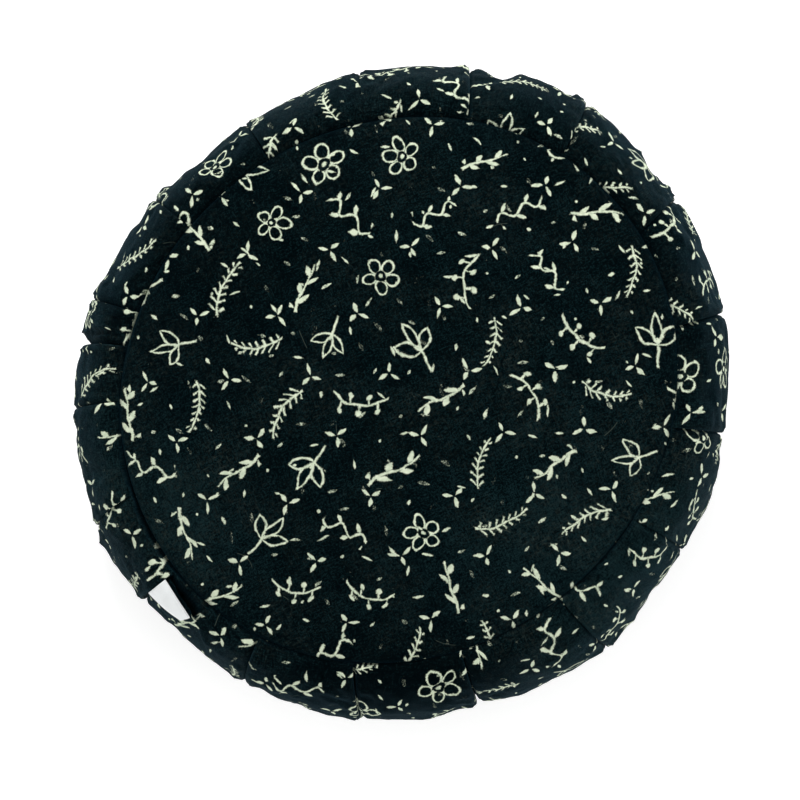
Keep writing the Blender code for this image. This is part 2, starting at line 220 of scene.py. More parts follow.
# The pull of a crease on the panel beside it: its share of the crease's depth, and its reach
PULL_SHARE = 0.16
PULL_WIDTH = 2.6 * MM
PULL_REACH = 9.0 * MM
PULL_START = 2.0 * MM

# Both cloths dip into a seam
SEAM_DIP = 1.3 * MM
SIDE_DIP_REACH = 1.9 * MM
PANEL_DIP_REACH = 2.4 * MM

# The narrow gap along the top seam: its half width, its depth all round, and where it is deeper
SEAM_GAPE_HALF = 1.3 * MM
SEAM_GAPE_DEPTH = 0.8 * MM
SEAM_GAPE_COLUMNS = ("deg", "deeper_mm", "wide_deg")
SEAM_GAPE_ROWS = (
    (95.0, 1.4, 12.0),
    (165.0, 1.6, 8.0),
    (206.0, 8.0, 14.0),
    (243.0, 1.2, 7.0),
    (262.0, 1.2, 6.0),
    (318.0, 1.4, 16.0),
)

# The panels: their cloth, its rim, and how the print lies on them
PANEL_CLOTH = 1.4 * MM
PANEL_RIM = 0.15 * MM
TOP_GRAIN_DEG = 26.5
BASE_PRINT_SHIFT = (0.83, 0.37)

# What closes the strip under each panel: shares of the seam's radius, and how low it starts
UNDER_PANEL_SHARES = (0.975, 0.86, 0.6, 0.3)
UNDER_PANEL_START = 0.8

# The open slit below the seam, beside the lapped end: it runs along the strip and a little down
SLIT_DEG = (219.6, 222.5, 225.6, 227.6, 228.6)
SLIT_INNER_MM = (1.6, 0.4, 0.9, 2.6, 7.6)
SLIT_OUTER_MM = (4.4, 6.4, 8.1, 10.0, 11.0)
SLIT_DEPTH = 13.0 * MM
SLIT_UNDERCUT = 3.5 * MM
SLIT_EDGE = 1.0 * MM
SLIT_EDGE_FADE = 1.1 * MM
SLIT_INNER_SLOPE = 0.50
SLIT_OUTER_SLOPE = 0.10
FLAP_UNDERCUT = 3.0

# The ribbon label, folded in two and caught under the lapped end. Its edges, nearer the seam
# and further from it: where each starts and ends, round and down the strip, and how it bows.
LABEL_START_DEG = (219.3, 219.1)
LABEL_END_DEG = (227.5, 226.6)
LABEL_START_DOWN_MM = (6.3, 20.8)
LABEL_END_DOWN_MM = (10.6, 18.2)
LABEL_BOW_MM = (-0.5, 0.5)
LABEL_LENGTH = 25.0 * MM
LABEL_WIDTH = 14.0 * MM
RIBBON = 0.35 * MM
RIBBON_LAYERS_APART = 0.75 * MM
RIBBON_LIFT = 0.5 * MM
LABEL_ROWS = 34
LABEL_COLUMNS = 22
LABEL_TURN_DEG = 80.0
LABEL_TURN_ROWS = 9
LABEL_PROBE_FROM = 0.06
LABEL_PROBES = (24, 16)
LABEL_PROBE_REACH = 20.0 * MM

# Its free end curls up, less at its further edge, it is hollow along its middle, and ripples
RIBBON_CURL = 1.0 * MM
CURL_FALL = 0.65
HOLLOW, HOLLOW_WIDTH = 0.5, 0.4
LABEL_RIPPLE = 0.10 * MM
RIPPLE_ALONG, RIPPLE_ACROSS = 9.0, 2.0

# How the cloth between the pleats settles over the filling in the simulation
SETTLE_ROW_STEP = 2
SETTLE_FRAMES = 20
SETTLE_CLOTH = {"vertex_group_mass": "held", "quality": 5, "mass": 0.3, "bending_stiffness": 0.05,
                "shrink_min": -0.02, "use_pressure": True, "uniform_pressure_force": 2.0}
SETTLE_CAP = 2.5 * MM
SETTLE_BROAD = (7, 5)
SETTLE_EDGE = 3
SETTLE_RISE = 0.70 * MM

# Where lint and dust show on the cloth, with painted sheen where light falls on it, and where the
# cloth is darker than most, which is painted shade: places seen from above, with how far each
# spreads round and outward, and how strong it is
LINT_AND_SHADING_COLUMNS = ("deg", "out_mm", "wide_deg", "tall_mm", "strength")
LINT_AND_SHADING_ROWS = (
    (316.0, 104.0, 36.0, 44.0, 1.10),
    (321.0, 160.0, 24.0, 22.0, 1.35),
    (210.0, 132.0, 19.0, 28.0, 1.40),
    (192.0, 162.0, 18.0, 12.0, 0.80),
    (104.0, 166.0, 24.0, 9.0, 0.30),
    (32.0, 146.0, 28.0, 26.0, -0.55),
    (145.0, 122.0, 34.0, 48.0, -0.60),
    (274.0, 158.0, 20.0, 22.0, -1.50),
)

# ======== small helpers
TINY = 1e-9
TINY_AREA = 1e-12


def records(columns, rows):
    """The rows of a table, each with its values by column name."""
    return [dict(zip(columns, row)) for row in rows]


def soft_step(x):
    """A soft step from 0 to 1."""
    x = np.clip(x, 0.0, 1.0)
    return x * x * (3.0 - 2.0 * x)


def hump(x, width):
    """A bell of height 1."""
    return np.exp(-(x / width) ** 2)


def turn_between(start_deg, end_deg):
    return (end_deg - start_deg) % 360.0


def signed_turn(start_deg, end_deg):
    return (end_deg - start_deg + 180.0) % 360.0 - 180.0


def ripples(points, wavelength, seed, waves=18):
    """A smooth random field over points, of about unit height, from plane waves."""
    random = np.random.default_rng(seed)
    total = np.zeros(points.shape[:-1])
    for _ in range(waves):
        direction = random.normal(size=3)
        direction /= np.linalg.norm(direction)
        number = 2.0 * math.pi / (wavelength * random.uniform(0.7, 1.5))
        total += np.cos(points @ direction * number + random.uniform(0.0, 2.0 * math.pi))
    return total / math.sqrt(0.5 * waves)


def rippled(points, rows):
    """Ripples of several sizes together."""
    return sum(height * ripples(points, wavelength, seed) for height, wavelength, seed in rows)


def starting(distance, start):
    """0 at a seam, and soon 1 away from it."""
    return 1.0 - np.exp(-distance / start)


def beside(distance, reach, start):
    """0 at a seam, most a little way from it, and fading beyond its reach."""
    return np.exp(-distance / reach) * starting(distance, start)


def lint_share(points):
    """How much lint and painted sheen show at each point, below 0 under painted shade, and about 0
    on most of the cloth.
    """
    out = np.hypot(points[:, 0], points[:, 1])
    deg = np.degrees(np.arctan2(points[:, 1], points[:, 0]))
    total = np.zeros(len(points))
    for zone in records(LINT_AND_SHADING_COLUMNS, LINT_AND_SHADING_ROWS):
        total += zone["strength"] * hump(signed_turn(zone["deg"], deg), zone["wide_deg"]) \
            * hump(out - zone["out_mm"] * MM, zone["tall_mm"] * MM)
    return total


def seam_gape(deg, from_seam):
    """How deep the gap along the top seam is, at a direction and a distance from the seam."""
    total = SEAM_GAPE_DEPTH + 0.0 * deg
    for place in records(SEAM_GAPE_COLUMNS, SEAM_GAPE_ROWS):
        total = total + place["deeper_mm"] * MM \
            * hump(signed_turn(place["deg"], deg), place["wide_deg"])
    return total * (1.0 - soft_step(from_seam / SEAM_GAPE_HALF))


# ======== outline, seams and side profile
FOLLOWING = (np.arange(PLEAT_COUNT) + 1) % PLEAT_COUNT
STRETCH_WIDTH = turn_between(PLEATS["crease_deg"], PLEATS["crease_deg"][FOLLOWING])
STRETCH_MIDDLE = (PLEATS["crease_deg"] + 0.5 * STRETCH_WIDTH
                  + 0.5 * (PLEATS["slant_deg"] + PLEATS["slant_deg"][FOLLOWING]))


def outline_radius(angle_deg):
    """How far the side reaches at its widest, without the folds' steps and creases."""
    folds = PLEATS["crease_deg"] + PLEATS["slant_deg"]
    start = folds[0]
    knots = np.append(np.column_stack((turn_between(start, folds),
                                       turn_between(start, STRETCH_MIDDLE))).ravel(), 360.0)
    reach = np.column_stack((PLEATS["fold_mm"], PLEATS["reach_mm"])).ravel() * MM
    reach = np.append(reach, reach[0])
    along = turn_between(start, angle_deg)
    place = np.clip(np.searchsorted(knots, along, side="right") - 1, 0, len(knots) - 2)
    mix = soft_step((along - knots[place]) / (knots[place + 1] - knots[place]))
    return SIDE_RADIUS + reach[place] * (1.0 - mix) + reach[place + 1] * mix


def seam_radius(mean_radius, angle_deg):
    """The seams are slightly oval."""
    return mean_radius + SEAM_OVAL * np.cos(np.radians(2.0 * (angle_deg - SEAM_OVAL_DEG)))


def side_profile(angle_deg, share):
    """Radius and height of the side, without its folds, a share of the way down it."""
    top = seam_radius(TOP_SEAM_RADIUS, angle_deg)
    base = seam_radius(BASE_SEAM_RADIUS, angle_deg)
    across = np.clip(np.sin(math.pi * share), 0.0, 1.0)
    up = np.cos(math.pi * share)
    seam = top + (base - top) * share
    radius = seam + (outline_radius(angle_deg) - seam) * across ** SIDE_FULLNESS
    rise = np.where(up > 0.0, TOP_SEAM_HEIGHT, BASE_SEAM_HEIGHT)
    height = WIDEST_HEIGHT + (rise - WIDEST_HEIGHT) * np.abs(up) ** SIDE_FULLNESS
    return np.broadcast_arrays(radius, height)


def row_shares():
    """Where the rows lie down the side: closest under the top seam, and close above the base's."""
    share = np.linspace(0.0, 1.0, ROW_STATIONS)
    closeness = 1.0
    for (closer, over), away in ((ROWS_AT_TOP, share), (ROWS_AT_BASE, 1.0 - share)):
        closeness = closeness + closer * np.exp(-away / over)
    count = np.concatenate(((0.0,), np.cumsum(0.5 * (closeness[1:] + closeness[:-1]))))
    return np.interp(np.linspace(0.0, count[-1], SIDE_ROW_COUNT), count, share)[None, :]


# ======== the pleated side strip
def strip_columns():
    """Columns round the strip in order, as named arrays, a row each.

    Each pleat's fold is followed by the stretch after it, and the list starts and ends at the
    bottom of the first fold's crease. A column has its turn, the moves of its crease down the
    side, its place along the strip, its level, its crease depth and how far it is drawn in.
    """
    number = np.arange(PLEAT_COUNT)[:, None]
    here = {name: values[:, None] for name, values in PLEATS.items()}
    following = {name: values[FOLLOWING] for name, values in here.items()}
    lap, next_lap = here["lap"], following["lap"]

    count = np.arange(len(SECTION_ROWS))
    order = np.where(lap > 0, count, count[::-1])
    section = {name: values[order] for name, values in SECTION.items()}
    after = count >= SECTION_HALF
    overhang = np.where(number == FLAP, FLAP_UNDERCUT, 1.0)
    folds = dict(
        deg=here["crease_deg"], slant=here["slant_deg"], twist=here["twist_deg"],
        place=lap * section["place_mm"] * MM, undercut=lap * overhang * section["undercut_mm"] * MM,
        level=section["level"] * 0.5 * here["step_mm"] * MM,
        slit=section["depth"] * here["slit_mm"] * MM, draw=here["draw_mm"] * MM, ease=here["ease"],
        stretch=np.where(after, number, number - 1) % PLEAT_COUNT, open=after * (number == FLAP))

    station = (np.arange(LOBE_COLUMNS) + COLUMN_INSET) / (LOBE_COLUMNS - 1.0 + 2.0 * COLUMN_INSET)
    width = STRETCH_WIDTH[:, None]
    begun = station * np.radians(width) * 0.5 * (TOP_SEAM_RADIUS + SIDE_RADIUS)
    left = begun[:, ::-1]
    start_step, end_step = (sign * 0.5 * step * MM for sign, step in (
        (-lap, here["step_mm"]), (next_lap, following["step_mm"])))
    level = sum(step * np.exp(-length / np.where(step > 0, EDGE_FADE, TUCK_FADE))
                for step, length in ((start_step, begun), (end_step, left)))
    draw = here["draw_mm"] * np.exp(-begun / DRAW_FADE) \
        + following["draw_mm"] * np.exp(-left / DRAW_FADE)
    over_reach, under_reach = -SECTION["place_mm"][0] * MM, SECTION["place_mm"][-1] * MM
    start_place = np.where(lap > 0, under_reach, over_reach)
    end_place = np.where(next_lap > 0, over_reach, under_reach)
    mix = {name: here[name] * (1.0 - station) + following[name] * station for name in here}
    stretches = dict(
        deg=here["crease_deg"] + width * station, slant=mix["slant_deg"], twist=mix["twist_deg"],
        place=start_place * (1.0 - station) - end_place * station, undercut=0.0, level=level,
        slit=0.0, draw=draw * MM, ease=mix["ease"], stretch=number, open=number == FLAP)

    columns = {}
    for name in folds:
        parts = [np.broadcast_to(part[name], (PLEAT_COUNT, size)) for part, size in (
            (folds, len(SECTION_ROWS)), (stretches, LOBE_COLUMNS))]
        joined_parts = np.concatenate(parts, axis=1).astype(float).ravel()
        columns[name] = np.roll(joined_parts, -SECTION_HALF)[:, None]
    columns["deg"][-SECTION_HALF:] += 360.0
    return columns


def slit_offset(deg, down):
    """The open slit below the seam: how far its outer edge is raised, and how open it is."""
    inner = np.interp(deg, SLIT_DEG, SLIT_INNER_MM) * MM
    outer = np.interp(deg, SLIT_DEG, SLIT_OUTER_MM) * MM
    width = outer - inner
    past = down - outer
    opened = soft_step((down - inner) / (SLIT_INNER_SLOPE * width)) \
        * (1.0 - soft_step(past / (SLIT_OUTER_SLOPE * width) + 1.0))
    raised = SLIT_EDGE * np.exp(-np.abs(past) / SLIT_EDGE_FADE) * (past > 0.0)
    closing = 1.0 - soft_step((deg - SLIT_DEG[-2]) / (SLIT_DEG[-1] - SLIT_DEG[-2]))
    return closing * raised, closing * opened


def strip_surface():
    """Points of the strip, columns by rows, and where they lie on the flat cloth.

    The flat places come twice: as each column has them, and as the cloth before each column
    would carry them on, which parts the print at a crease. The last array is 1 inside the slit.
    """
    column = strip_columns()
    share = row_shares()
    middle = np.sin(math.pi * share)
    deg = column["deg"] + column["slant"] * middle + column["twist"] * soft_step(share)
    radius, height = side_profile(deg, share)
    turn = np.radians(deg)
    base = np.stack((radius * np.cos(turn), radius * np.sin(turn), height), axis=-1)
    drop = np.gradient(height, axis=1)
    spread = np.gradient(radius, axis=1)
    length = np.hypot(drop, spread)
    outward, upward = -drop / length, spread / length
    down = np.concatenate((np.zeros((len(deg), 1)), np.cumsum(
        np.hypot(np.diff(radius, axis=1), np.diff(height, axis=1)), axis=1)), axis=1)
    to_seam = np.minimum(down, down[:, -1:] - down)

    # The folds, which waver a little on their way down
    waver = 1.0 + FOLD_WAVER * ripples(base, FOLD_WAVER_LENGTH, FOLD_WAVER_SEED)
    ease = column["ease"] * middle ** 2
    opened = soft_step(to_seam / STEP_OPENS) * (1.0 - ease) * waver
    creased = soft_step(to_seam / CREASE_OPENS) * (1.0 - CREASE_EASE * ease) * waver
    along = column["place"] + column["undercut"] * creased
    offset = column["level"] * opened + column["slit"] * creased
    offset = offset + (LOBE_SWELL - column["draw"]) * middle ** LOBE_ROUNDNESS
    offset = offset - SEAM_DIP * np.exp(-to_seam / SIDE_DIP_REACH) - seam_gape(deg, down)

    # Uneven cloth between them, gathered a little at the seams
    offset = offset + starting(to_seam, SIDE_UNEVEN_START) * rippled(base, SIDE_UNEVEN)
    seam_place = np.radians(column["deg"]) * TOP_SEAM_RADIUS
    gathers = np.sin(2.0 * math.pi * seam_place / GATHER_PITCH + rippled(base, GATHER_STRAY))
    offset = offset + GATHER_HEIGHT * beside(to_seam, GATHER_REACH, GATHER_START) * gathers
    for pucker in records(PUCKER_COLUMNS, PUCKER_ROWS):
        middle_deg = pucker["deg"] + pucker["lean_deg"] * (share - pucker["share"])
        offset = offset + pucker["height_mm"] * MM \
            * hump(signed_turn(middle_deg, deg), pucker["wide_deg"]) \
            * hump(share - pucker["share"], pucker["tall_share"])
    slit_edge, slit_open = slit_offset(deg, down)
    slit_open = column["open"] * slit_open
    offset = offset + column["open"] * slit_edge

    radius = radius + outward * offset + SLIT_UNDERCUT * slit_open
    height = height + upward * offset - SLIT_DEPTH * slit_open
    turn = turn + along / radius
    points = np.stack((radius * np.cos(turn), radius * np.sin(turn), height), axis=-1)

    def flat_place(stretch, turn_deg):
        """Along the strip from the middle of a stretch, and down it."""
        middle_deg = STRETCH_MIDDLE[stretch]
        along_cloth = np.radians(middle_deg) * (SIDE_RADIUS + LOBE_SWELL) \
            + np.radians(turn_deg - middle_deg) * radius + column["place"]
        return np.stack((along_cloth, -down), axis=-1)

    stretch = column["stretch"].astype(int)
    carried_deg = deg.copy()
    carried_deg[0] += 360.0
    carried = flat_place(np.roll(stretch, 1, axis=0), carried_deg)
    return points, flat_place(stretch, deg), carried, np.clip(4.0 * slit_open, 0.0, 1.0)


def grid_faces(count, row):
    """Quads between a closed ring of count points and the next ring."""
    here = np.arange(count) + row * count
    after = (np.arange(count) + 1) % count + row * count
    return np.stack((here, after, after + count, here + count), axis=-1)


def blurred(values, reach, axis):
    """Running mean over reach values on either side along an axis, run twice to soften it."""
    for _ in range(2):
        pad = [(0, 0)] * values.ndim
        pad[axis] = (reach + 1, reach)
        total = np.cumsum(np.pad(values, pad, mode="edge"), axis=axis)
        count = values.shape[axis]
        window = 2 * reach + 1
        last = np.take(total, np.arange(window, window + count), axis=axis)
        values = (last - np.take(total, np.arange(count), axis=axis)) / window
    return values


def held_cloth(slit):
    """True where the strip is sewn or folded and stays put: its seams, its creases and its slit."""
    column = strip_columns()
    creased = (np.abs(column["undercut"]) + np.abs(column["slit"])) > 0.0
    held = creased | (slit > 0.0)
    held[:, 0] = True
    held[:, -1] = True
    return held


def settled_moves(grid, held):
    """How far the points of a grid of cloth move when it settles, slack and lightly blown up."""
    columns, rows = held.shape
    number = np.arange(columns * rows).reshape(columns, rows)
    after = np.roll(number, -1, axis=0)
    faces = np.stack((number[:, :-1], number[:, 1:], after[:, 1:], after[:, :-1]), -1)
    mesh = bpy.data.meshes.new("settling")
    mesh.from_pydata(grid.reshape(-1, 3).tolist(), [], faces.reshape(-1, 4).tolist())
    item = bpy.data.objects.new("settling", mesh)
    bpy.context.scene.collection.objects.link(item)
    pinned = item.vertex_groups.new(name="held")
    pinned.add(np.flatnonzero(held).tolist(), 1.0, "REPLACE")
    cloth = item.modifiers.new("cloth", "CLOTH")
    cloth.point_cache.frame_start = 1
    cloth.point_cache.frame_end = SETTLE_FRAMES
    cloth.collision_settings.use_collision = False
    cloth.settings.effector_weights.gravity = 0.0
    for name, value in SETTLE_CLOTH.items():
        setattr(cloth.settings, name, value)
    for frame_number in range(1, SETTLE_FRAMES + 1):
        bpy.context.scene.frame_set(frame_number)
    settled = item.evaluated_get(bpy.context.evaluated_depsgraph_get())
    places = np.zeros(3 * columns * rows, np.float32)
    settled.data.vertices.foreach_get("co", places)
    bpy.data.objects.remove(item)
    bpy.context.scene.frame_set(1)
    return places.reshape(columns, rows, 3) - grid


def settle_strip(points, slit):
    """The strip with the small puckers and drag lines of settled cloth, its broad shape kept."""
    grid = points[:, ::SETTLE_ROW_STEP]
    held = held_cloth(slit)[:, ::SETTLE_ROW_STEP]
    held[:, -1] = True
    moves = settled_moves(grid, held)
    length = np.linalg.norm(moves, axis=-1, keepdims=True)
    moves = moves * np.minimum(1.0, SETTLE_CAP / np.maximum(length, TINY))
    outward = np.cross(np.gradient(grid, axis=1), np.gradient(grid, axis=0))
    outward /= np.linalg.norm(outward, axis=-1, keepdims=True) + TINY_AREA
    rise = np.sum(moves * outward, axis=-1)
    free = 1.0 - held
    broad, weight = rise * free, free.copy()
    for axis, reach in enumerate(SETTLE_BROAD):
        broad, weight = blurred(broad, reach, axis), blurred(weight, reach, axis)
    inside = free * soft_step(2.0 * blurred(free, SETTLE_EDGE, 0) - 1.0)
    moves = moves - outward * (inside * (broad / (weight + TINY) + SETTLE_RISE))[..., None]
    place = np.arange(SIDE_ROW_COUNT) / SETTLE_ROW_STEP
    before = np.minimum(place.astype(int), moves.shape[1] - 1)
    following = np.minimum(before + 1, moves.shape[1] - 1)
    mix = (place - before)[None, :, None]
    return points + moves[:, before] * (1.0 - mix) + moves[:, following] * mix


def by_corner(values, faces):
    """Values of the points, repeated for each corner of each face."""
    return values[np.concatenate([np.asarray(face) for face in faces])]


def mesh_from(name, points, faces, corner_uv=None, **point_values):
    """A mesh object, with places on the flat cloth and named values of its points."""
    mesh = bpy.data.meshes.new(name)
    mesh.from_pydata(points.tolist(), [], [list(map(int, face)) for face in faces])
    if corner_uv is not None:
        layer = mesh.uv_layers.new(name="cloth")
        layer.data.foreach_set("uv", corner_uv.astype(np.float32).ravel())
    for value_name, values in point_values.items():
        layer = mesh.attributes.new(value_name, "FLOAT", "POINT")
        layer.data.foreach_set("value", values.astype(np.float32).ravel())
    shape = bmesh.new()
    shape.from_mesh(mesh)
    bmesh.ops.recalc_face_normals(shape, faces=shape.faces[:])
    shape.to_mesh(mesh)
    shape.free()
    mesh.shade_smooth()
    item = bpy.data.objects.new(name, mesh)
    bpy.context.scene.collection.objects.link(item)
    return item


def ring_points(radius, turn, height):
    return np.stack((radius * np.cos(turn), radius * np.sin(turn), height), axis=-1)


def make_side_strip():
    """The pleated strip with what it holds: its outside, and plain faces under the panels."""
    points, cloth, carried, slit = strip_surface()
    points = settle_strip(points, slit)
    count = len(points)
    rings = [points[:, row] for row in range(SIDE_ROW_COUNT)]
    under = {}
    for top, edge in ((True, rings[0]), (False, rings[-1])):
        turn = np.arctan2(edge[:, 1], edge[:, 0])
        mean = TOP_SEAM_RADIUS if top else BASE_SEAM_RADIUS
        seam = seam_radius(mean, np.degrees(turn))
        inward = -UNDER_PANEL if top else UNDER_PANEL
        plain = [ring_points(seam + GAP, turn, edge[:, 2] + UNDER_PANEL_START * inward)]
        for share in UNDER_PANEL_SHARES:
            level = panel_level(share, top) + inward + 0.0 * turn
            plain.append(ring_points(seam * share, turn, level))
        under[top] = plain
    above, below = len(under[True]), len(under[False])
    rings = under[True][::-1] + rings + under[False]

    def all_rings(values):
        """Values of the strip's points, with its first and last rows' repeated under the panels."""
        rows = [values[:, 0]] * above + [values[:, row] for row in range(SIDE_ROW_COUNT)]
        return np.concatenate(rows + [values[:, -1]] * below)

    cloth, carried = all_rings(cloth), all_rings(carried)
    quads = np.concatenate([grid_faces(count, row) for row in range(len(rings) - 1)])
    here, after, after_below, here_below = quads.T
    corner_uv = np.stack((cloth[here], carried[after], carried[after_below], cloth[here_below]), 1)
    ends = [np.arange(count), np.arange(count)[::-1] + (len(rings) - 1) * count]
    corner_uv = np.concatenate((corner_uv.reshape(-1, 2), by_corner(cloth, ends)))
    points = np.concatenate(rings)
    return mesh_from("side_strip", points, list(quads) + ends, corner_uv, lint=lint_share(points),
                     bare=all_rings(slit))


# ======== the round panels
def panel_level(share, top):
    """Height of a panel's outer face, a share of the way out from its middle."""
    if top:
        crown = OVERALL_HEIGHT - TOP_SEAM_HEIGHT
        return TOP_SEAM_HEIGHT + crown * (1.0 - share ** CROWN_POWER)
    climb = np.clip((share - BASE_FLAT_SHARE) / (1.0 - BASE_FLAT_SHARE), 0.0, 1.0)
    return BASE_SEAM_HEIGHT * climb ** BASE_CURL_POWER


def make_panel(name, top):
    """A round sheet of cloth: puckered where the pleats pull at its edge."""
    turn = np.linspace(0.0, 2.0 * math.pi, PANEL_COLUMNS, endpoint=False)[None, :]
    deg = np.degrees(turn)
    even = np.linspace(0.0, 1.0, PANEL_RING_COUNT)
    share = PANEL_MIDDLE_SHARE \
        + (1.0 - PANEL_MIDDLE_SHARE) * (1.0 - (1.0 - even) ** PANEL_RING_POWER)
    share = share[:, None]
    mean = TOP_SEAM_RADIUS if top else BASE_SEAM_RADIUS
    edge = seam_radius(mean, deg) - GAP
    radius = edge * share
    inward = edge * (1.0 - share)
    turn = turn + 0.0 * share
    flat = ring_points(radius, turn, 0.0 * radius)

    # How far the cloth stands off its crown
    lift = -SEAM_DIP * np.exp(-inward / PANEL_DIP_REACH)
    for crease_deg, depth_mm in zip(PLEATS["crease_deg"], PLEATS["slit_mm"]):
        away = np.radians(signed_turn(crease_deg, deg)) * mean
        lift = lift - PULL_SHARE * depth_mm * MM * hump(away, PULL_WIDTH) \
            * beside(inward, PULL_REACH, PULL_START)
    lift = lift + rippled(flat, PANEL_PUCKERS) \
        * beside(inward, PANEL_PUCKER_REACH, PANEL_PUCKER_START)
    if top:
        lift = lift + starting(inward, TOP_UNEVEN_START) * rippled(flat, TOP_UNEVEN)
        lift = lift - seam_gape(deg, inward)
    outward = 1.0 if top else -1.0
    level = panel_level(share, top) + outward * lift
    if not top:
        level = np.maximum(level, 0.0)
    outer = ring_points(radius, turn, level)

    grain = math.radians(TOP_GRAIN_DEG if top else 0.0)
    cloth = np.stack((outer[..., 0] * math.cos(grain) + outer[..., 1] * math.sin(grain),
                      outer[..., 1] * math.cos(grain) - outer[..., 0] * math.sin(grain)), axis=-1)
    if not top:
        cloth = cloth * np.array((-1.0, 1.0)) + np.array(BASE_PRINT_SHIFT)

    # The cloth's rim and its inner face, which has fewer rings
    inner_rows = np.linspace(0, PANEL_RING_COUNT - 1, PANEL_INNER_RINGS).astype(int)
    inner = outer[inner_rows].copy()
    inner[..., 2] -= outward * PANEL_CLOTH
    rim = outer[-1].copy()
    rim[:, :2] *= (1.0 + PANEL_RIM / np.hypot(rim[:, 0], rim[:, 1]))[:, None]
    rim[:, 2] -= outward * 0.5 * PANEL_CLOTH
    points = np.concatenate((*outer, rim, *inner[::-1]))
    cloth = np.concatenate((*cloth, cloth[-1], *cloth[inner_rows][::-1]))
    rings = len(points) // PANEL_COLUMNS
    faces = list(np.concatenate([grid_faces(PANEL_COLUMNS, row) for row in range(rings - 1)]))
    middle = np.arange(PANEL_COLUMNS)
    faces += [middle, middle[::-1] + (rings - 1) * PANEL_COLUMNS]
    return mesh_from(name, points, faces, by_corner(cloth, faces), lint=lint_share(points))


# ======== the ribbon label
PROFILE_STATIONS = 301
SLOPE_STATIONS = 4


def label_base(u, v):
    """A point of the side under the label and its outward direction: u along it, v across it."""
    def across(values):
        """The value at v, between those of the edges nearer the seam and further from it."""
        return values[0] * (1.0 - v) + values[1] * v

    deg = across(LABEL_START_DEG) * (1.0 - u) + across(LABEL_END_DEG) * u
    down = (across(LABEL_START_DOWN_MM) * (1.0 - u) + across(LABEL_END_DOWN_MM) * u
            + 4.0 * u * (1.0 - u) * across(LABEL_BOW_MM)) * MM
    radius, height = side_profile(deg[..., None], np.linspace(0.0, 0.5, PROFILE_STATIONS))
    steps = np.hypot(np.diff(radius, axis=-1), np.diff(height, axis=-1))
    depth = np.concatenate((np.zeros_like(steps[..., :1]), np.cumsum(steps, axis=-1)), axis=-1)
    place = np.argmin(np.abs(depth - down[..., None]), axis=-1)[..., None]
    place = np.clip(place, SLOPE_STATIONS, PROFILE_STATIONS - SLOPE_STATIONS - 1)

    def near(values, step):
        return np.take_along_axis(values, place + step, -1)[..., 0]

    mix = (down - near(depth, 0)) / (near(depth, 1) - near(depth, 0))
    radius_here, height_here = (
        near(values, 0) + (near(values, 1) - near(values, 0)) * mix for values in (radius, height))
    drop = near(height, -SLOPE_STATIONS) - near(height, SLOPE_STATIONS)
    spread = near(radius, SLOPE_STATIONS) - near(radius, -SLOPE_STATIONS)
    length = np.hypot(drop, spread)
    turn = np.radians(deg)
    outward = ring_points(drop / length, turn, spread / length)
    return ring_points(radius_here, turn, height_here), outward


def bent_plane(u, v):
    """The six terms of a bent plane over the label."""
    return np.stack((np.ones_like(u), u, v, u * u, u * v, v * v), axis=-1)


def label_lift(strip):
    """The factors of the bent plane, over the plain side, that just clears the strip."""
    rows, columns = LABEL_PROBES
    u, v = np.meshgrid(np.linspace(LABEL_PROBE_FROM, 1.0, rows), np.linspace(0.0, 1.0, columns),
                       indexing="ij")
    points, outward = label_base(u, v)
    tree = BVHTree.FromPolygons([vertex.co for vertex in strip.data.vertices],
                                [face.vertices for face in strip.data.polygons])
    heights = np.zeros(u.shape)
    for place in np.ndindex(u.shape):
        origin = Vector(points[place] + outward[place] * LABEL_PROBE_REACH)
        distance = tree.ray_cast(origin, Vector(-outward[place]), 2.0 * LABEL_PROBE_REACH)[3]
        heights[place] = LABEL_PROBE_REACH - distance if distance is not None else 0.0
    terms = bent_plane(u, v).reshape(-1, 6)
    factors = np.linalg.lstsq(terms, heights.ravel(), rcond=None)[0]
    factors[0] += np.max(heights.ravel() - terms @ factors)
    return factors


def sheet_faces(number):
    """Quads between the rows and columns of a grid of point numbers."""
    corners = (number[:-1, :-1], number[1:, :-1], number[1:, 1:], number[:-1, 1:])
    return np.stack(corners, axis=-1).reshape(-1, 4)


